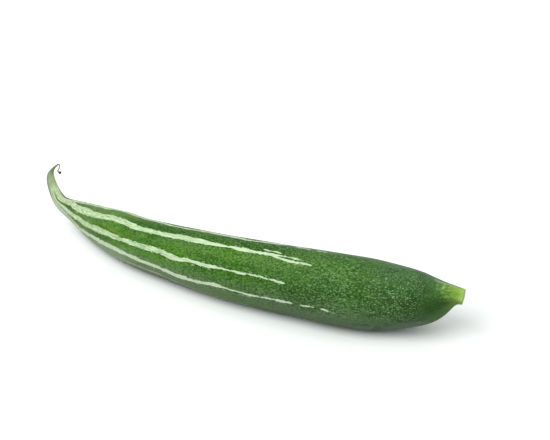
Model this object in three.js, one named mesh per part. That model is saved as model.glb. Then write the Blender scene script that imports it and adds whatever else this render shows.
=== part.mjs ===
// A snake gourd as picked: one long bent fruit lying on its side, with the stub of its cut stem
// at the thick end and the withered thread of its flower at the tip of the curled tail.
// Millimetres, +Z up. The tail points to -X, the stem to +X, and the gourd lies on z = 0.
import {
  CatmullRomCurve3,
  CylinderGeometry,
  Group,
  Mesh,
  MeshStandardMaterial,
  Vector3,
} from "three";

const BEDDING = 0.35; // the depth to which the lying skin is pressed flat by its own weight
const GAP = 0.3; // between pieces that meet face to face
const STEM_RIBS = 5;
const RIB_HEIGHT = 0.05; // of the stem's radius
const FRUIT_MESH = { sides: 36, ringsPerStation: 6 };
const STEM_MESH = { sides: 30, ringsPerStation: 4 };
const THREAD_MESH = { sides: 8, ringsPerStation: 5 };

// The gourd's centre line from the tip of the tail to the cut end of the stem. A station is x, y,
// the clearance between its skin and the surface below, and its radius.
const STATIONS = [
  [-143.7, 18.0, 45.6, 0.6],
  [-149.6, 20.3, 39.3, 1.1],
  [-153.9, 22.9, 30.0, 2.7],
  [-152.6, 24.0, 19.5, 3.7],
  [-143.5, 20.5, 11.5, 5.0],
  [-129.5, 20.0, 4.5, 8.3],
  [-111.0, 15.0, 0, 12.0],
  [-88.0, 5.5, 0, 15.0],
  [-57.5, -2.5, 0, 17.0],
  [3.0, -8.0, 0, 20.3],
  [61.5, -4.0, 0, 22.1],
  [88.0, -0.5, 0, 22.6],
  [106.5, 5.5, 0, 21.6],
  [133.0, 13.0, 7.5, 16.0],
  [150.0, 16.0, 22.5, 6.5],
  [157.0, 17.5, 24.5, 4.5],
];
const STEM_JOINT = STATIONS.length - 2; // the station where the fruit ends and the stem begins

// The withered thread hangs from the tip and ends in a dark knob. These stations are measured
// from the tip: x, y, z, and the radius.
const THREAD = [
  [0, 0, 0, 0.4],
  [0.8, 0.45, 0.1, 0.38],
  [1.0, 0.55, -0.9, 0.37],
  [0.7, 0.4, -2.6, 0.36],
  [0.2, 0.1, -4.0, 0.34],
  [-0.3, -0.15, -4.7, 0.32],
  [0.1, 0.05, -5.4, 0.42],
  [1.0, 0.55, -6.0, 0.95],
  [1.9, 1.05, -6.5, 0.8],
];

const ACROSS = new Vector3(0, 1, 0); // the sections are set out from this direction

const round = () => 1;
const ribbed = (angle) => 1 + RIB_HEIGHT * Math.cos(STEM_RIBS * angle);

// A smooth line through the stations, and its radius, both counted in stations from the first.
function growthLine(stations) {
  const last = stations.length - 1;
  const smooth = (points) => new CatmullRomCurve3(points, false, "catmullrom", 0.5);
  const centre = smooth(stations.map(([x, y, z]) => new Vector3(x, y, z)));
  const girth = smooth(stations.map(([, , , radius]) => new Vector3(radius, 0, 0)));
  return {
    last,
    point: (station) => centre.getPoint(station / last),
    tangent: (station) => centre.getTangent(station / last),
    radius: (station) => girth.getPoint(station / last).x,
  };
}

// A unit cylinder bent along a growth line between two stations, and trimmed flat at z = 0. The
// section gives the share of the line's radius that the surface reaches at each angle.
function grow(line, start, end, { sides, ringsPerStation }, section) {
  const rings = Math.max(1, Math.round((end - start) * ringsPerStation));
  const geometry = new CylinderGeometry(1, 1, 1, sides, rings);
  const vertices = geometry.attributes.position;
  for (let i = 0; i < vertices.count; i++) {
    const station = start + (end - start) * (vertices.getY(i) + 0.5);
    const tangent = line.tangent(station);
    const up = new Vector3().crossVectors(tangent, ACROSS).normalize();
    const side = new Vector3().crossVectors(tangent, up);
    const angle = Math.atan2(vertices.getZ(i), vertices.getX(i));
    const radius = line.radius(station) * section(angle);
    const vertex = line.point(station);
    vertex.addScaledVector(side, radius * vertices.getX(i));
    vertex.addScaledVector(up, radius * vertices.getZ(i));
    vertices.setXYZ(i, vertex.x, vertex.y, Math.max(vertex.z, 0));
  }
  geometry.computeVertexNormals();
  return geometry;
}

function piece(name, geometry, color, roughness) {
  const mesh = new Mesh(geometry, new MeshStandardMaterial({ color, roughness, metalness: 0 }));
  mesh.name = name;
  return mesh;
}

const gourdLine = growthLine(
  STATIONS.map(([x, y, clearance, radius]) => [x, y, clearance + radius - BEDDING, radius]),
);

function fruit() {
  const skin = grow(gourdLine, 0, STEM_JOINT, FRUIT_MESH, round);
  return piece("fruit", skin, 0x4c8038, 0.42);
}

function cutStem() {
  const joint = gourdLine.point(STEM_JOINT);
  const stubLength = joint.distanceTo(gourdLine.point(gourdLine.last));
  const start = STEM_JOINT + GAP / stubLength;
  const stub = grow(gourdLine, start, gourdLine.last, STEM_MESH, ribbed);
  return piece("cut_stem", stub, 0x8db646, 0.6);
}

function witheredFlower() {
  const root = gourdLine.point(0).addScaledVector(gourdLine.tangent(0), -GAP);
  const hung = THREAD.map(([x, y, z, radius]) => [root.x + x, root.y + y, root.z + z, radius]);
  const threadLine = growthLine(hung);
  const thread = grow(threadLine, 0, threadLine.last, THREAD_MESH, round);
  return piece("withered_flower", thread, 0x3d3524, 0.85);
}

const gourd = new Group();
gourd.add(fruit(), cutStem(), witheredFlower());

export default gourd;
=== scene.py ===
import math
from functools import cached_property

import bpy
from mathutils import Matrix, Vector


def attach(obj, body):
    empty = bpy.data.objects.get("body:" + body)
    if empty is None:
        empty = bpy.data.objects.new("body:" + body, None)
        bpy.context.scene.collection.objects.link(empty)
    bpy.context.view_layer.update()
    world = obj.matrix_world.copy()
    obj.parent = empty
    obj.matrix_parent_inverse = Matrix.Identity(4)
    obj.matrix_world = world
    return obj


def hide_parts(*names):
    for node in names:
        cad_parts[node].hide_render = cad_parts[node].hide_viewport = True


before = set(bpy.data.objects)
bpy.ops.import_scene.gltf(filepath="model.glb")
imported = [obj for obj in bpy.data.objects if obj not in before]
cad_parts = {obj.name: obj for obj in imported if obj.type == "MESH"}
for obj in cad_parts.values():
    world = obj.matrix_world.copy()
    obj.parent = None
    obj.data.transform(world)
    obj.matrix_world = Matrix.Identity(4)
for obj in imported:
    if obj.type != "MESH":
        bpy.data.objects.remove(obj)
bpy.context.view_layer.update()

MM = 0.001

# ---------------------------------------------------------------------------------------------
# Fruit
# One bent fruit that grew in a single piece, so it is one closed skin over a smooth growth line.
# The skin is deep green with pale broken stripes that start in the whitish tail and give out past
# the middle, and with small pale flecks that thicken towards the stem.

# Stations from the tail's tip to the cut stem: x, y, clearance under the skin, radius, in mm.
STATIONS = (
    (-143.7, 18.0, 45.6, 0.6),
    (-149.6, 20.3, 39.3, 1.1),
    (-153.9, 22.9, 30.0, 2.7),
    (-152.6, 24.0, 19.5, 3.7),
    (-143.5, 20.5, 11.5, 5.0),
    (-129.5, 20.0, 4.5, 8.3),
    (-111.0, 15.0, 0.0, 12.0),
    (-88.0, 5.5, 0.0, 15.0),
    (-57.5, -2.5, 0.0, 17.0),
    (3.0, -8.0, 0.0, 20.3),
    (61.5, -4.0, 0.0, 22.1),
    (88.0, -0.5, 0.0, 22.6),
    (106.5, 5.5, 0.0, 21.6),
    (133.0, 13.0, 7.5, 16.0),
    (150.0, 16.0, 22.5, 6.5),
    (157.0, 17.5, 24.5, 4.5),
)
BEDDING = 0.35          # how far the lying skin is pressed flat
GOURD_LENGTH = 349.1    # along the growth line, from the tail's tip to the cut
STEM_LENGTH = 7.2
growth_line = [(x, y, clear + radius - BEDDING, radius) for x, y, clear, radius in STATIONS]

# Five low ribs rise on the shoulder, from rib_start to rib_full in metres along the growth line,
# and run out along the stem.
RIBS = {
    "ribs": 5, "rib_height": 0.45 * MM, "rib_turn": math.radians(20),
    "rib_start": 0.313, "rib_full": 0.340,
}


class Wire:
    """A node's output. Arithmetic on a wire adds Math nodes, and node() adds any other kind."""

    def __init__(self, tree, socket=None):
        self.tree = tree
        self.socket = socket

    def node(self, kind, settings=None, sockets=None, output=0):
        """Adds a node: its settings or a curve's points first, then each socket's value or link."""
        made = self.tree.nodes.new(kind)
        for name, value in (settings or {}).items():
            if name == "points":
                self.draw(made.mapping, value)
            else:
                setattr(made, name, value)
        for key, value in (sockets or {}).items():
            socket = self.find(made.inputs, key)
            if isinstance(value, Wire):
                self.tree.links.new(value.socket, socket)
            else:
                socket.default_value = value
        return Wire(self.tree, self.find(made.outputs, output) if made.outputs else None)

    def find(self, sockets, key):
        if isinstance(key, int):
            return sockets[key]
        return next(s for s in sockets if s.enabled and key == s.name)

    def draw(self, mapping, points):
        """Draws a curve node's smooth line through the points, level beyond its two ends."""
        mapping.use_clip = False
        line = mapping.curves[0].points
        for number, point in enumerate(points):
            if number < len(line):
                line[number].location = point
            else:
                line.new(*point)
        for point in line:
            point.handle_type = "AUTO_CLAMPED"
        mapping.update()

    def also(self, output):
        """Another output of the node that this wire comes from."""
        return Wire(self.tree, self.find(self.socket.node.outputs, output))

    def maths(self, operation, *others):
        values = dict(enumerate((self, *others)))
        return self.node("ShaderNodeMath", {"operation": operation}, values)

    def vector(self, operation, *others):
        values = dict(enumerate((self, *others)))
        return self.node("ShaderNodeVectorMath", {"operation": operation}, values)

    def scaled(self, factor):
        return self.node("ShaderNodeVectorMath", {"operation": "SCALE"}, {0: self, "Scale": factor})

    def vector_length(self):
        return self.node("ShaderNodeVectorMath", {"operation": "LENGTH"}, {0: self}, "Value")

    def split(self):
        """The x, y and z of a vector."""
        parts = self.node("ShaderNodeSeparateXYZ", {}, {0: self})
        return parts, parts.also("Y"), parts.also("Z")

    def smooth(self, start, end):
        """0 at start and 1 at end, which may be the lower of the two, with a soft step."""
        sockets = {"Value": self, "From Min": start, "From Max": end}
        return self.node("ShaderNodeMapRange", {"interpolation_type": "SMOOTHSTEP"}, sockets)

    def curve(self, points):
        return self.node("ShaderNodeFloatCurve", {"points": points}, {"Value": self})

    def __add__(self, other):
        return self.maths("ADD", other)

    def __sub__(self, other):
        return self.maths("SUBTRACT", other)

    def __rsub__(self, other):
        return self * -1 + other

    def __mul__(self, other):
        return self.maths("MULTIPLY", other)

    def __truediv__(self, other):
        return self.maths("DIVIDE", other)

    __radd__ = __add__
    __rmul__ = __mul__


CAP_SHARE = 0.04        # the share of a piece's rings that goes to each of its round ends
STEPS_A_STATION = 32    # of the growth line, between two stations
LUMP_LEVEL = 0.62       # noise at this level leaves the skin in its place, and below it sinks it
FAR = 10.0              # in metres, past anything here


def growth_tree():
    """Geometry nodes that grow a skin over the Catmull-Rom line through a row of stations."""
    tree = bpy.data.node_groups.new("grown skin", "GeometryNodeTree")
    inputs = {
        "Stations": "Geometry", "Rings": "Int", "Sides": "Int", "Material": "Material",
        "Begin": "Float", "Stop": "Float", "Start round": "Float", "End round": "Float",
        "Root depth": "Float", "Root length": "Float", "Dish": "Float",
        "Ribs": "Int", "Rib height": "Float", "Rib turn": "Float",
        "Rib start": "Float", "Rib full": "Float", "Twist": "Float",
        "Lump height": "Float", "Lumps a metre": "Float",
        "Lump start": "Float", "Lump full": "Float",
    }
    for name, kind in inputs.items():
        tree.interface.new_socket(name, in_out="INPUT", socket_type="NodeSocket" + kind)
    tree.interface.new_socket("Skin", in_out="OUTPUT", socket_type="NodeSocketGeometry")
    start = Wire(tree)
    given = start.node("NodeGroupInput")
    size = {name: given.also(name) for name in inputs}

    # the line through the stations, and a sheet of rings and sides to wrap round it
    line = start.node("GeometryNodeMeshToCurve", {}, {"Mesh": size["Stations"]})
    line = start.node("GeometryNodeCurveSplineType", {"spline_type": "CATMULL_ROM"}, {"Curve": line})
    line = start.node("GeometryNodeSetSplineResolution", {}, {
        "Geometry": line, "Resolution": STEPS_A_STATION,
    })
    sheet = start.node("GeometryNodeMeshGrid", {}, {
        "Vertices X": size["Rings"] + 1, "Vertices Y": size["Sides"] + 1,
    })
    across, down, _ = start.node("GeometryNodeInputPosition").split()
    ring = across + 0.5
    turn = down * math.tau

    # each end is closed by a round cap, on the outermost share of the rings
    quarter = math.pi / 2
    first = (ring / CAP_SHARE).maths("MINIMUM", 1) * quarter
    last = ((1 - ring) / CAP_SHARE).maths("MINIMUM", 1) * quarter
    middle = start.node("ShaderNodeMapRange", {}, {
        "Value": ring, "From Min": CAP_SHARE, "From Max": 1 - CAP_SHARE,
    })
    from_first = 1 - first.maths("COSINE")
    to_last = last.maths("COSINE")
    reach = first.maths("SINE") * last.maths("SINE")
    span = size["Stop"] - size["Begin"] - size["Start round"] - size["End round"]
    along = size["Begin"] + size["Start round"] * from_first + span * middle
    along = along + size["End round"] * to_last - size["Dish"] * to_last * to_last

    sample = start.node("GeometryNodeSampleCurve", {"mode": "LENGTH", "data_type": "FLOAT"}, {
        "Curves": line, "Length": along,
        "Value": start.node("GeometryNodeInputNamedAttribute", {"data_type": "FLOAT"},
                            {"Name": "girth"}),
    }, "Position")
    tangent = sample.also("Tangent")
    up = tangent.vector("CROSS_PRODUCT", (0, 1, 0)).vector("NORMALIZE")
    near = tangent.vector("CROSS_PRODUCT", up)

    # the radius: ribs that rise along the piece, and a root that tucks under
    ribs = (turn - size["Rib turn"] + size["Twist"] * along) * size["Ribs"]
    ribs = ribs.maths("COSINE") * along.smooth(size["Rib start"], size["Rib full"])
    root = along.smooth(size["Begin"] + size["Root length"], size["Begin"]) * size["Root depth"]
    radius = (sample.also("Value") + ribs * size["Rib height"] - root) * reach
    up_part = radius * turn.maths("COSINE")
    near_part = radius * turn.maths("SINE")
    outward = up.scaled(up_part).vector("ADD", near.scaled(near_part))
    skin_place = sample.vector("ADD", outward)

    # slow lumps sink parts of the skin, and the table presses it flat underneath
    lump = start.node("ShaderNodeTexNoise", {}, {
        "Vector": skin_place, "Scale": size["Lumps a metre"], "Detail": 2.0,
    }, "Fac") - LUMP_LEVEL
    lump = lump * size["Lump height"] * along.smooth(size["Lump start"], size["Lump full"])
    skin_place = skin_place.vector("ADD", outward.vector("NORMALIZE").scaled(lump * reach))
    skin_place = skin_place.vector("MAXIMUM", (-FAR, -FAR, 0))

    # where each point would be if the piece had grown straight, and an even map for baking
    straight = start.node("ShaderNodeCombineXYZ", {}, {0: along, 1: up_part, 2: near_part})
    bake = start.node("ShaderNodeCombineXYZ", {}, {0: ring, 1: down + 0.5})
    skin = start.node("GeometryNodeStoreNamedAttribute",
                      {"data_type": "FLOAT_VECTOR", "domain": "POINT"},
                      {"Geometry": sheet, "Name": "straight", "Value": straight})
    skin = start.node("GeometryNodeStoreNamedAttribute",
                      {"data_type": "FLOAT2", "domain": "CORNER"},
                      {"Geometry": skin, "Name": "OFBake", "Value": bake})
    skin = start.node("GeometryNodeSetPosition", {}, {"Geometry": skin, "Position": skin_place})
    skin = start.node("GeometryNodeMergeByDistance", {}, {"Geometry": skin, "Distance": 0.001 * MM})
    skin = start.node("GeometryNodeFlipFaces", {}, {"Mesh": skin})
    skin = start.node("GeometryNodeSetShadeSmooth", {}, {"Geometry": skin})
    skin = start.node("GeometryNodeRealizeInstances", {}, {"Geometry": skin})
    skin = start.node("GeometryNodeSetMaterial", {}, {
        "Geometry": skin, "Material": size["Material"],
    })
    start.node("NodeGroupOutput", {}, {0: skin})
    return tree


grown_skin = growth_tree()


def grow(name, stations, **sizes):
    """A plain mesh object grown over stations of x, y, z and radius in mm."""
    line = bpy.data.meshes.new(name + " stations")
    points = [Vector(station[:3]) * MM for station in stations]
    line.from_pydata(points, [(i, i + 1) for i in range(len(points) - 1)], [])
    girth = line.attributes.new("girth", "FLOAT", "POINT")
    girth.data.foreach_set("value", [station[3] * MM for station in stations])
    piece = bpy.data.objects.new(name, line)
    bpy.context.collection.objects.link(piece)
    growth = piece.modifiers.new("growth", "NODES")
    growth.node_group = grown_skin
    for item in grown_skin.interface.items_tree:
        key = item.name.lower().replace(" ", "_")
        if key in sizes:
            growth[item.identifier] = sizes[key]
    shaped = piece.evaluated_get(bpy.context.evaluated_depsgraph_get())
    plain = bpy.data.meshes.new_from_object(shaped)
    piece.modifiers.remove(growth)
    piece.data = plain
    return piece


def colour(red, green, blue):
    """A colour in bytes, as the linear values that a shader takes."""
    linear = [((c / 255 + 0.055) / 1.055) ** 2.4 for c in (red, green, blue)]
    return (*linear, 1.0)


def mix(factor, first, second):
    sockets = {"Factor": factor, "A": first, "B": second}
    return factor.node("ShaderNodeMix", {"data_type": "RGBA"}, sockets, "Result")


class Spot:
    """A spot on a piece as if it had grown straight: mm along, and degrees round from the top
    towards the near side. Patterns on it can be drawn out along the piece."""

    def __init__(self, wire):
        stored = wire.node("ShaderNodeAttribute", {"attribute_name": "straight"}, {}, "Vector")
        self.place = stored.scaled(1 / MM)
        self.along, self.up, self.near = self.place.split()

    @cached_property
    def girth(self):
        """How far the spot is from the growth line, in mm."""
        return (self.up * self.up + self.near * self.near).maths("SQRT")

    @cached_property
    def around(self):
        return self.near.maths("ARCTAN2", self.up) / math.radians(1)

    @cached_property
    def from_top(self):
        return self.around.maths("ABSOLUTE")

    @cached_property
    def on_rib(self):
        """1 along the middle of each rib, and -1 between two ribs."""
        turn = self.around - math.degrees(RIBS["rib_turn"])
        return (turn * math.radians(RIBS["ribs"])).maths("COSINE")

    def drawn_out(self, times):
        """The place with its length divided, which makes a pattern so many times as long."""
        return self.place.vector("MULTIPLY", (1 / times, 1, 1))

    def noise(self, size, detail=2.0, roughness=0.5, long=1.0):
        """Noise about 0, mostly from -0.5 to 0.5, in lumps size mm wide and long times as long."""
        return self.place.node("ShaderNodeTexNoise", {}, {
            "Vector": self.drawn_out(long), "Scale": 1 / size,
            "Detail": detail, "Roughness": roughness,
        }, "Fac") * 2 - 1

    def dots(self, cells, size, long):
        """1 in round dots, one to a cell: so many cells to a mm, and dots up to size cells wide."""
        sockets = {"Vector": self.drawn_out(long), "Scale": cells}
        from_dot = self.place.node("ShaderNodeTexVoronoi", {}, sockets, "Distance")
        chance = self.place.node("ShaderNodeSeparateColor", {}, {0: from_dot.also("Color")})
        return (from_dot - chance * (size / 2)).smooth(0.06, -0.06)


def new_material(name):
    material = bpy.data.materials.new(name)
    material.use_nodes = True
    material.node_tree.nodes.clear()
    return material, Wire(material.node_tree)


def give_surface(start, skin, roughness, height, gloss):
    """Gives a material its surface: colours, roughness, and a fine relief, its height in mm."""
    bump = start.node("ShaderNodeBump", {}, {"Height": height, "Distance": MM, "Strength": 1.0})
    surface = start.node("ShaderNodeBsdfPrincipled", {}, {
        "Base Color": skin, "Roughness": roughness, "Normal": bump, "Specular IOR Level": gloss,
    })
    start.node("ShaderNodeOutputMaterial", {}, {"Surface": surface})


def neck_skin(spot):
    """The neck's dark green, turning lime up the stalk, with fibres along it. Also the fibres."""
    along, around, from_top = spot.along, spot.around, spot.from_top
    fibre = spot.noise(0.8, 3.0, 0.6, long=12)
    broad = spot.noise(2.6, long=3)
    fleck = spot.noise(0.7, long=2.5)

    # dark green, with painted shade down the near side, and greyer underneath, partly its own tone and
    # partly a painted reflection of the table
    dark = mix(fibre.smooth(-0.4, 0.4), colour(50, 92, 34), colour(80, 124, 62))
    dark = mix(from_top.smooth(45, 85) * 0.7, dark, colour(38, 72, 22))
    dark = mix(from_top.smooth(92, 140) * 0.8, dark, colour(96, 136, 76))
    dark = mix(fleck.smooth(0.1, 0.4) * 0.5, dark, colour(96, 138, 74))

    # lime, with painted shade in the hollows between the ribs, and brightest at the cut
    lime = mix(broad.smooth(-0.3, 0.3), colour(112, 156, 60), colour(142, 182, 88))
    lime = mix(along.smooth(338, 345) * 0.6, lime, colour(142, 184, 66))
    lime = mix(fibre.smooth(0.0, 0.4) * 0.5, lime, colour(172, 206, 104))
    # painted shade in the hollows between the ribs
    lime = mix(spot.on_rib.smooth(0.3, -1.0) * 0.4, lime, colour(96, 142, 48))
    lime = mix(along.smooth(345, 348) * 0.6, lime, colour(186, 222, 108))

    # the lime starts on the crown, and later further round
    late = from_top.curve([(0, 0), (45, 0.5), (60, 1.5), (75, 3), (95, 3.6), (120, 2.5), (180, 2)])
    reach = along + fibre * 8 + broad * 2 - late
    skin = mix(reach.smooth(333, 345), dark, lime)

    # a whitish painted highlight along the crest, and painted highlight streaks beside it
    crest_highlight = (around + 8).maths("ABSOLUTE").smooth(14, 4) * along.smooth(330, 336)
    crest_highlight = crest_highlight * along.smooth(349, 344) * fibre.smooth(-0.5, 0.1)
    skin = mix(crest_highlight * 0.7, skin, colour(176, 210, 146))
    streak_highlight = fibre.smooth(0.0, 0.35) * (around - 16).maths("ABSOLUTE").smooth(32, 16)
    streak_highlight = streak_highlight * along.smooth(333, 337) * along.smooth(344, 340)
    return mix(streak_highlight * 0.7, skin, colour(160, 196, 136)), fibre


# Stripes. Each is a row of (mm along from the tail's tip, degrees round from the top towards the
# near side, width in mm). A width below 0 leaves a gap, and a stripe goes on as it ends.
STRIPES = (
    # over the crown, thin and broken
    ((18, 14, 1.6), (30, 10, 3.0), (38, 14, 3.0), (43, 11, 3.0), (48, -2, 5.2), (54, -8, 4.4),
     (60, -8, 3.0), (70, -8, 2.6), (76, -12, 3.6), (88, -13, 4.6), (96, -18, 4.4), (104, -20, 4.2),
     (125, -19, 4.0), (143, -11, 2.6), (152, -8, 1.8), (161, -9, 1.6), (170, -12, 2.2),
     (179, -16, 2.8), (197, -13, 2.4), (208, -10, 2.0), (223, -15, 2.4), (231, -17, 1.8),
     (234, -18, -2), (236, -18, -2), (239, -17, 1.8), (248, -14, 1.4), (251, -14, -2),
     (252, -14, -2), (254, -12, 1.2), (260, -12, 0.9), (262, -12, -2)),
    # widest on the upper near side
    ((18, 34, 1.2), (30, 33, 1.5), (36, 32, 2.4), (40, 26, 3.8), (44, 22, 4.2), (48, 20, 4.7),
     (53, 32, 4.4), (57, 36, 4.2), (62, 35, 5.2), (67, 33, 5.4), (72, 32, 5.2), (78, 32, 4.6),
     (85, 30, 4.0), (92, 28, 4.0), (101, 24, 4.8), (111, 22, 3.9), (120, 23, 4.5), (130, 26, 3.4),
     (148, 25, 3.1), (175, 21, 3.7), (188, 21, 2.4), (198, 21, 1.6), (204, 20, 2.8),
     (210, 20, 3.3), (217, 21, 2.2), (227, 20, 2.2), (236, 20, 1.6), (242, 21, 0.8),
     (247, 22, 0.4), (250, 22, -2)),
    # two short streaks beside its end
    ((227, 22, -2), (231, 24, 1.6), (237, 26, 1.4), (242, 28, 1.1), (249, 28, 1.4),
     (256, 29, 0.8), (260, 30, -2)),
    ((220, 11, -2), (223, 12, 1.1), (226, 13, 0.9), (229, 13, 1.4), (233, 14, 1.2), (236, 15, -2)),
    # two long ones down the near side
    ((18, 66, 1.2), (30, 67, 1.2), (41, 66, 1.6), (47, 70, 2.6), (52, 75, 2.8), (56, 76, 3.1),
     (65, 70, 3.0), (75, 69, 3.5), (86, 66, 2.9), (93, 65, 3.6), (98, 65, 3.6),
     (110, 64, 3.4), (123, 63, 2.8), (136, 63, 3.0), (148, 62, 3.2), (156, 63, 3.0),
     (162, 66, 3.8), (168, 66, 2.6), (176, 64, 2.4), (188, 65, 1.8), (193, 64, 1.7),
     (200, 64, 0.9), (210, 64, 1.2), (218, 63, 0.7), (230, 64, 1.4), (240, 66, 1.2), (244, 67, -2)),
    ((18, 98, 1.2), (30, 98, 2.2), (38, 99, 3.9), (44, 104, 4.6), (50, 111, 5.1), (56, 112, 6.2),
     (61, 113, 6.2), (66, 108, 5.0), (72, 102, 3.8), (78, 97, 3.2), (85, 93, 2.8), (92, 92, 3.2),
     (98, 93, 3.4), (110, 92, 3.4), (116, 92, 3.0), (124, 93, 2.9), (137, 96, 2.4), (154, 98, 2.4),
     (170, 102, 3.0), (183, 101, 2.3), (194, 97, 2.4), (203, 98, 1.4), (211, 99, 0.8),
     (218, 100, 1.3), (227, 99, 1.0), (238, 98, 1.7), (244, 98, 1.1), (247, 98, 0.8), (250, 98, -2),
     (252, 98, -2), (255, 98, 1.2), (262, 97, 0.9), (264, 97, -2), (265, 97, -2), (267, 97, 1.4),
     (270, 99, 1.0), (274, 100, 0.8), (277, 101, -2)),
    # low on the near side and underneath
    ((18, 140, 1.2), (32, 144, 1.4), (58, 152, 1.2), (88, 146, 1.0), (104, 128, 0.9),
     (118, 118, 0.7), (128, 117, 1.3), (140, 118, 1.5), (150, 118, 1.3), (162, 123, 0.8),
     (176, 129, 1.2), (190, 133, 1.3), (210, 134, 1.0), (226, 134, -2)),
    ((18, 170, 1.3), (32, 170, 2.0), (58, 173, 3.4), (88, 170, 3.0), (128, 163, 2.6),
     (168, 161, 2.4), (213, 160, 1.6), (230, 160, -2)),
    ((18, 204, 1.3), (32, 204, 2.0), (58, 202, 4.0), (93, 198, 3.4), (138, 199, 3.2),
     (183, 196, 2.8), (226, 196, 1.4), (238, 197, -2)),
    # up the far side
    ((18, 238, 1.3), (32, 238, 2.0), (58, 236, 4.2), (88, 231, 3.8), (128, 235, 3.0),
     (163, 230, 3.6), (193, 233, 2.0), (220, 231, 2.4), (236, 232, 1.4), (242, 233, -2),
     (247, 234, -2), (250, 234, 1.1), (260, 235, 0.9), (263, 235, -2)),
    ((18, 274, 1.3), (32, 273, 2.0), (58, 272, 4.0), (83, 268, 4.4), (118, 272, 3.2),
     (148, 268, 3.4), (183, 271, 2.6), (208, 269, 1.6), (233, 270, 1.8), (248, 271, 1.2),
     (254, 272, -2)),
    ((18, 312, 1.3), (32, 311, 2.0), (58, 309, 3.8), (83, 305, 4.6), (113, 303, 3.4),
     (148, 300, 3.8), (178, 302, 2.4), (213, 301, 2.0), (238, 303, 1.3), (260, 302, 1.1),
     (264, 302, -2), (269, 303, -2), (271, 303, 1.0), (278, 304, 0.9), (281, 304, -2)),
)


# Broad patches. Each is (mm along, degrees round, mm long, degrees wide, how much lighter), and a
# darker one has a last number below 0.
PATCHES = (
    (96, 80, 24, 13, -0.45),
    (113, 12, 16, 10, -0.3),
    (176, 38, 34, 13, 0.35),
    (226, 34, 26, 18, 0.3),
    (253, 20, 16, 22, 0.25),
    (257, 84, 24, 30, -0.5),
    (284, 37, 22, 14, 0.15),
    (314, 37, 24, 12, 0.15),
    (318, 78, 26, 26, -0.35),
    (205, 120, 50, 20, 0.3),
)


def to_stripe(spot):
    """How far it is, in mm, to the edge of the nearest stripe: below 0 inside one."""
    edge = None
    for rows in STRIPES:
        middle = spot.along.curve([(mm, degrees) for mm, degrees, _ in rows])
        width = spot.along.curve([(mm, width) for mm, _, width in rows])
        across = (spot.around - middle).maths("WRAP", 180, -180) * math.radians(1) * spot.girth
        gap = across.maths("ABSOLUTE") - width * 0.5
        edge = gap if edge is None else edge.maths("MINIMUM", gap)
    return edge


def stripe_shape(spot, edge):
    """1 on a stripe, which has ragged edges and faint islands beside it, and on the pale tail."""
    along = spot.along
    ragged = spot.noise(2.6, long=3.2) * 1.2 + spot.noise(1.1, long=1.6) * 0.75
    stripe = (edge + ragged * spot.girth.smooth(2, 11)).smooth(0.15, -0.15)
    island = spot.noise(1.5, 1.0, long=1.5).smooth(0.26, 0.34) * edge.smooth(1.7, 0.9)
    island = island * along.smooth(90, 120) * along.smooth(262, 240)
    stripe = stripe.maths("MAXIMUM", island * 0.4)
    return stripe.maths("MAXIMUM", along.smooth(37, 29) * 0.9)


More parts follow.
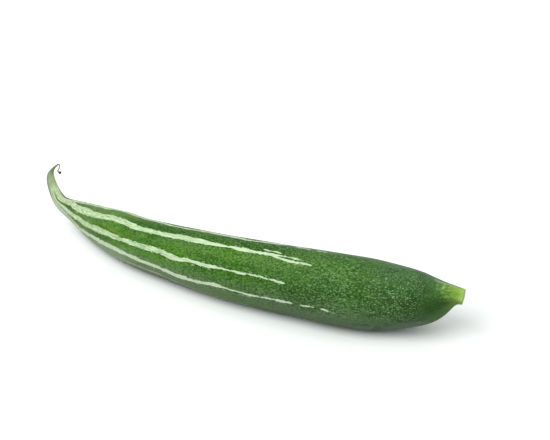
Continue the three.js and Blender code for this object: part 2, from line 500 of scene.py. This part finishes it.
def green_skin(spot, edge, cloud, vein):
    """Mossy and leafy green, darkest beside stripes and under a painted shadow on the crown, and
    greyer low down, partly a painted reflection of the table.
    """
    along, around, from_top = spot.along, spot.around, spot.from_top
    patch = spot.noise(13, long=2.5)
    green = mix(patch.smooth(-0.3, 0.3), colour(52, 104, 20), colour(76, 130, 28))
    green = mix(cloud.smooth(0.0, 0.4) * 0.55, green, colour(90, 136, 64))
    green = mix(cloud.smooth(-0.05, -0.4) * 0.6, green, colour(42, 88, 16))
    green = mix(edge.smooth(1.8, 0.2) * 0.3, green, colour(36, 78, 14))

    # olive and mottled over the thin half, with a painted shadow on the middle of the crown, and
    # darker towards the shoulder
    olive = spot.noise(4, long=3).smooth(0.0, 0.3) * along.smooth(160, 90)
    green = mix(olive * 0.6, green, colour(112, 134, 44))
    mottle = spot.noise(2.0, 3.0, 0.7, long=2) * along.smooth(190, 110)
    green = mix(mottle.smooth(0.0, 0.45) * 0.6, green, colour(120, 158, 88))
    green = mix(mottle.smooth(0.0, -0.45) * 0.6, green, colour(44, 86, 22))
    # painted shadow over the middle of the crown
    painted_crown_shadow = from_top.smooth(28, 5) * along.smooth(105, 150) * along.smooth(250, 210)
    green = mix(painted_crown_shadow * 0.7, green, colour(36, 82, 8))
    green = mix(along.smooth(190, 250) * 0.45, green, colour(46, 84, 28))
    green = mix(along.smooth(270, 310) * 0.65, green, colour(46, 84, 40))

    # grey-green low down, partly its own tone and partly a painted reflection of the table, with a
    # paler rim under the shoulder that is painted reflection
    low_grey_and_reflection = mix(along.smooth(165, 215), colour(136, 158, 122), colour(110, 136, 102))
    low_grey_and_reflection = mix(along.smooth(140, 110), low_grey_and_reflection, colour(182, 202, 164))
    low_grey_and_reflection = mix(along.smooth(285, 330), low_grey_and_reflection, colour(94, 122, 90))
    low_grey_and_reflection = mix(vein.smooth(0.2, -0.5) * 0.55, low_grey_and_reflection, colour(84, 106, 70))
    sunk = from_top - along.smooth(285, 310) * 15 - along.smooth(125, 105) * 8
    green = mix(sunk.smooth(66, 112) * 0.85, green, low_grey_and_reflection)
    # a paler rim low under the shoulder, painted reflection of the table
    rim_reflection = from_top.smooth(112, 130) * along.smooth(275, 295)
    green = mix(rim_reflection * 0.35, green, colour(150, 168, 150))

    # mossy blotches on the shoulder, the broad patches, and a bluish-grey bloom with painted sheen
    # combed along its crown
    moss = spot.noise(7, long=1.8) * along.smooth(262, 296)
    green = mix(moss.smooth(0.04, 0.3) * 0.25, green, colour(96, 136, 62))
    green = mix(moss.smooth(-0.04, -0.3) * 0.45, green, colour(34, 62, 26))
    for mm, degrees, length, wide, lighter in PATCHES:
        far_along = ((along - mm) / length).maths("POWER", 2)
        far_round = ((around - degrees) / wide).maths("POWER", 2)
        shade = colour(120, 160, 82) if lighter > 0 else colour(30, 62, 14)
        green = mix((far_along + far_round).smooth(1, 0) * abs(lighter), green, shade)
    # bluish-grey painted sheen over the wax bloom on the crown
    bloom_and_sheen = along.smooth(262, 312) * from_top.smooth(52, 5) * spot.noise(1.6, long=9).smooth(-0.5, 0.4)
    return mix(bloom_and_sheen * 0.6, green, colour(94, 134, 92))


def flecked(spot, green):
    """The green with a fine grain and with pale dots, both of which grow stronger towards the
    shoulder. Also how far they stand out."""
    along, from_top = spot.along, spot.from_top
    grain = spot.noise(1.0, 3.0, 0.6, long=1.3)
    strength = (along.smooth(90, 215) * 0.6 + 0.4) * (along.smooth(270, 300) * -0.4 + 1)
    strength = strength * (1 - from_top.smooth(100, 125) * 0.5) * 0.75
    freckle = mix(along.smooth(205, 260), colour(114, 158, 80), colour(118, 158, 102))
    green = mix(grain.smooth(0.02, -0.3) * strength, green, colour(26, 56, 14))
    green = mix(grain.smooth(0.0, 0.32) * strength, green, freckle)

    dot = spot.dots(0.85, 0.7, long=2.4).maths("MAXIMUM", spot.dots(1.25, 0.86, long=1.7) * 0.8)
    dot = dot * along.smooth(225, 305) * along.smooth(338, 324)
    dot = dot * (from_top.smooth(4, 34) * 0.75 + 0.25) * (1 - from_top.smooth(98, 128) * 0.7)
    return mix(dot * 0.85, green, colour(142, 186, 126)), dot * 0.05 + grain * 0.03


def tail_green(spot, edge, green):
    """The green as it fades into the tail, with pale hairs along the stripes."""
    along, from_top = spot.along, spot.from_top
    root = along.smooth(70, 58) * (1 - from_top.smooth(68, 84) * along.smooth(58, 48) * 0.5)
    green = mix(root * 0.75, green, colour(66, 98, 50))
    green = mix(along.smooth(52, 28) * 0.6, green, colour(112, 136, 86))
    green = mix(along.smooth(105, 64) * along.smooth(42, 62) * 0.45, green, colour(102, 126, 82))
    hair = spot.noise(0.9, long=14).smooth(0.1, 0.45) * edge.smooth(3.2, 0.6)
    hair = hair * along.smooth(130, 80) * (along.smooth(44, 62) * 0.15 + 0.45)
    return mix(hair, green, colour(160, 190, 134))


def pale_skin(spot, edge, vein):
    """The whitish green of stripes and tail, with fine grey-green veins along it."""
    along, from_top = spot.along, spot.from_top
    pale = mix(vein.smooth(-0.45, 0.3), colour(136, 166, 114), colour(214, 241, 197))
    pale = mix(edge.smooth(-1.6, -0.2) * along.smooth(125, 85) * 0.5, pale, colour(176, 204, 132))
    pale = mix(spot.noise(2.2, long=2).smooth(0.1, 0.5) * 0.4, pale, colour(168, 188, 148))
    pale = mix(along.smooth(140, 190) * 0.45, pale, colour(222, 246, 206))
    pale = mix(from_top.smooth(70, 105) * along.smooth(45, 75) * 0.7, pale, colour(234, 252, 220))
    # painted shade dims the stripes low down
    pale = mix(from_top.smooth(106, 114) * along.smooth(75, 105) * 0.5, pale, colour(136, 158, 122))

    # the tail: duller, yellower with a painted highlight on top of its bend, greyer with painted shade
    # underneath, and frosted at its root
    tail = mix(vein.smooth(-0.4, 0.3), colour(156, 176, 130), colour(204, 224, 182))
    tail = mix(vein.smooth(-0.2, -0.45) * 0.5, tail, colour(120, 142, 92))
    tail = mix(along.smooth(33, 24) * from_top.smooth(72, 38) * 0.8, tail, colour(212, 234, 172))
    tail = mix(from_top.smooth(66, 115) * along.smooth(44, 30) * 0.75, tail, colour(128, 150, 124))
    frost = (along - 44).maths("ABSOLUTE").smooth(9, 4) * from_top.smooth(52, 75)
    tail = mix(frost * 0.45, tail, colour(214, 232, 216))
    return mix(along.smooth(66, 44), pale, tail)


def striped_skin():
    material, start = new_material("striped skin")
    spot = Spot(start)
    along, from_top = spot.along, spot.from_top
    cloud = spot.noise(5, 3.0, 0.6, long=2.5)
    vein = spot.noise(0.8, 3.0, 0.65, long=10)
    edge = to_stripe(spot)
    stripe = stripe_shape(spot, edge)
    green, relief = flecked(spot, green_skin(spot, edge, cloud, vein))
    green = tail_green(spot, edge, green)
    skin = mix(stripe, green, pale_skin(spot, edge, vein))

    # painted shade in dull green underneath where it lies, an olive tip, and the neck's colours before
    # the stalk
    painted_underside_shade = (from_top + along.smooth(110, 60) * 10).smooth(121, 144) * along.smooth(40, 75)
    painted_underside_shade = painted_underside_shade * (along.smooth(155, 205) * -0.45 + 0.75) * along.smooth(320, 290)
    skin = mix(painted_underside_shade, skin, colour(54, 72, 48))
    skin = mix(along.smooth(15, 6) * 0.85, skin, colour(126, 128, 84))
    neck, _ = neck_skin(spot)
    skin = mix((along + vein * 5 + from_top.smooth(45, 70) * 7).smooth(326, 339), skin, neck)

    roughness = stripe * 0.1 + cloud * 0.08 + 0.44
    give_surface(start, skin, roughness, stripe * 0.05 + relief + vein * 0.02, gloss=0.08)
    return material


fruit = grow(
    "gourd_fruit", growth_line, rings=600, sides=150,
    begin=0.0, stop=(GOURD_LENGTH - STEM_LENGTH) * MM,
    start_round=0.8 * MM, end_round=0.5 * MM,
    lump_height=0.9 * MM, lumps_a_metre=32.0, lump_start=0.340, lump_full=0.323,
    material=striped_skin(), **RIBS,
)
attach(fruit, "root")
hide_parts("fruit")

# ---------------------------------------------------------------------------------------------
# Cut stem
# The stub of the stalk that held the fruit: five-ribbed, fibrous and lime green, one with the
# fruit's shoulder, and cut off square with a knife so that its paler pith shows.

STEM_ROOT = 1.8      # how far the stem's skin starts inside the shoulder
STEM_PROUD = 0.03    # how far it then stands over the shoulder's skin
VESSEL_RING = 2.7    # how far the vessels are from the stem's middle


def stalk_green():
    material, start = new_material("stalk green")
    spot = Spot(start)
    along, middle_out = spot.along, spot.girth
    skin, fibre = neck_skin(spot)
    mottle = spot.noise(3.0)
    pith = spot.noise(0.6)

    # the cut face, dished in the middle: pale pith, a greener rind, and a vessel behind each rib
    face = mix(middle_out.smooth(1.2, 3.6), colour(202, 222, 148), colour(164, 196, 108))
    face = mix(pith.smooth(0.0, 0.5) * 0.4, face, colour(150, 176, 100))
    from_vessel = (1 - spot.on_rib) / 0.35 + ((middle_out - VESSEL_RING) / 0.5).maths("POWER", 2)
    face = mix(from_vessel.smooth(1.2, 0.3) * 0.6, face, colour(116, 152, 66))
    cut = along.smooth(GOURD_LENGTH - 0.5, GOURD_LENGTH - 0.3)
    cut = cut.maths("MAXIMUM", middle_out.smooth(3.9, 3.4) * along.smooth(345, 346))

    height = fibre * 0.06 + mottle * 0.05 + pith * 0.03
    give_surface(start, mix(cut, skin, face), mottle * 0.08 + 0.5, height, gloss=0.12)
    return material


stem = grow(
    "gourd_stem", [(x, y, z, radius + STEM_PROUD) for x, y, z, radius in growth_line],
    rings=90, sides=150,
    begin=(GOURD_LENGTH - STEM_LENGTH - STEM_ROOT) * MM, stop=GOURD_LENGTH * MM,
    start_round=0.1 * MM, end_round=0.35 * MM, dish=0.6 * MM,
    root_depth=0.3 * MM, root_length=0.8 * MM,
    lump_height=0.4 * MM, lumps_a_metre=260.0, lump_start=0.342, lump_full=0.345,
    material=stalk_green(), **RIBS,
)
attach(stem, "root")
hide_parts("cut_stem")

# ---------------------------------------------------------------------------------------------
# Withered flower
# What is left of the flower on the tail's tip: a dry twisted thread, olive where it leaves the
# skin, that hangs down and ends in a shrivelled dark brown knob.

# Stations measured from where the thread leaves the tip: x, y, z and radius, in mm.
THREAD = (
    (0, 0, 0, 0.4),
    (0.8, 0.45, 0.1, 0.38),
    (1.0, 0.55, -0.9, 0.37),
    (0.7, 0.4, -2.6, 0.36),
    (0.2, 0.1, -4.0, 0.34),
    (-0.3, -0.15, -4.7, 0.32),
    (0.1, 0.05, -5.4, 0.42),
    (1.0, 0.55, -6.0, 0.95),
    (1.9, 1.05, -6.5, 0.8),
)
THREAD_LENGTH = 9.2         # along its stations, to the end of the knob
THREAD_START = 0.2          # how far past the skin's tip they are measured from
THREAD_ROOT = 0.9           # how far back from there the thread begins, inside the tip
THREAD_ROOT_RADIUS = 0.36


def dry_thread():
    material, start = new_material("dry thread")
    spot = Spot(start)
    out = spot.along - THREAD_ROOT
    fibre = spot.noise(0.4, 3.0, 0.6, long=5)
    old = mix(out.smooth(0.5, 2.5), colour(92, 90, 60), colour(136, 128, 100))
    old = mix(out.smooth(5, 6.8), old, colour(34, 31, 26))
    old = mix(fibre.smooth(-0.1, 0.6) * 0.6, old, colour(28, 24, 18))
    give_surface(start, old, 0.8, fibre * 0.08, gloss=0.5)
    return material


tip = Vector(growth_line[0][:3])
outward = (tip - Vector(growth_line[1][:3])).normalized()
root = tip + outward * THREAD_START
hung = [(*(root + Vector(station[:3])), station[3]) for station in THREAD]
hung.insert(0, (*(root - outward * THREAD_ROOT), THREAD_ROOT_RADIUS))
flower = grow(
    "dried_flower", hung, rings=160, sides=32,
    begin=0.0, stop=(THREAD_LENGTH + THREAD_ROOT) * MM,
    start_round=0.2 * MM, end_round=0.5 * MM,
    ribs=3, rib_height=0.06 * MM, rib_start=-1.0, rib_full=0.0, twist=900.0,
    lump_height=0.25 * MM, lumps_a_metre=900.0, lump_start=-1.0, lump_full=0.0,
    material=dry_thread(),
)
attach(flower, "root")
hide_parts("withered_flower")

# ---------------------------------------------------------------------------------------------
# Table, light and camera
# A plain white table under one soft lamp and an even sky, which keeps the gourd's shadow. The
# camera looks down on it at 27 degrees.

CAMERA_PLACE = Vector((0.571, -0.9286, 0.604))
CAMERA_AIM = Vector((-0.0217, 0.098, 0.0))
LAMP_PLACE = Vector((-0.3, -0.8, 0.9))
WORLD_LIGHT = 0.65
TABLE_REACH = 3.0    # from its middle to each side


def shown(rays):
    """1 for the rays that show a thing to the camera or mirror it, 0 for those that light it."""
    seen = rays.also("Is Camera Ray").maths("MAXIMUM", rays.also("Is Glossy Ray"))
    return seen.maths("MAXIMUM", rays.also("Is Transmission Ray"))


def white_table():
    """White to the camera and in reflections wherever nothing shades it, and faintly green near the
    middle, a painted reflection of the gourd in its shadow.
    """
    material, start = new_material("white table")
    seen = shown(start.node("ShaderNodeLightPath"))
    far = start.node("ShaderNodeNewGeometry", {}, {}, "Position").vector_length().smooth(0.3, 1.2)
    # faintly green near the middle: a painted green reflection of the gourd in its shadow
    white = mix(far, (1.2, 1.24, 1.23, 1), (1.8, 1.8, 1.8, 1))
    matt = start.node("ShaderNodeBsdfDiffuse", {}, {"Color": mix(seen, colour(150, 151, 152), white)})
    start.node("ShaderNodeOutputMaterial", {}, {"Surface": matt})
    return material


table_mesh = bpy.data.meshes.new("table")
corners = [(x * TABLE_REACH, y * TABLE_REACH, 0) for x, y in ((-1, -1), (1, -1), (1, 1), (-1, 1))]
table_mesh.from_pydata(corners, [], [(0, 1, 2, 3)])
table_mesh.materials.append(white_table())
table = bpy.data.objects.new("table", table_mesh)
bpy.context.collection.objects.link(table)

world = bpy.data.worlds.new("studio")
bpy.context.scene.world = world
world.use_nodes = True
world.node_tree.nodes.clear()
sky = Wire(world.node_tree)
backdrop = sky.node("ShaderNodeBackground", {}, {
    "Color": (1, 1, 1, 1),
    "Strength": shown(sky.node("ShaderNodeLightPath")) * (1 - WORLD_LIGHT) + WORLD_LIGHT,
})
sky.node("ShaderNodeOutputWorld", {}, {"Surface": backdrop})

softbox = bpy.data.lights.new("softbox", "AREA")
softbox.shape = "DISK"
softbox.size = 1.2
softbox.energy = 9.0
lamp = bpy.data.objects.new("softbox", softbox)
lamp.location = LAMP_PLACE
lamp.rotation_euler = (-LAMP_PLACE).to_track_quat("-Z", "Y").to_euler()
bpy.context.collection.objects.link(lamp)

lens = bpy.data.cameras.new("camera")
lens.lens = 127.2
lens.sensor_width = 36.0
camera = bpy.data.objects.new("camera", lens)
camera.location = CAMERA_PLACE
camera.rotation_euler = (CAMERA_AIM - CAMERA_PLACE).to_track_quat("-Z", "Y").to_euler()
bpy.context.collection.objects.link(camera)
bpy.context.scene.camera = camera
bpy.context.scene.view_settings.view_transform = "Standard"
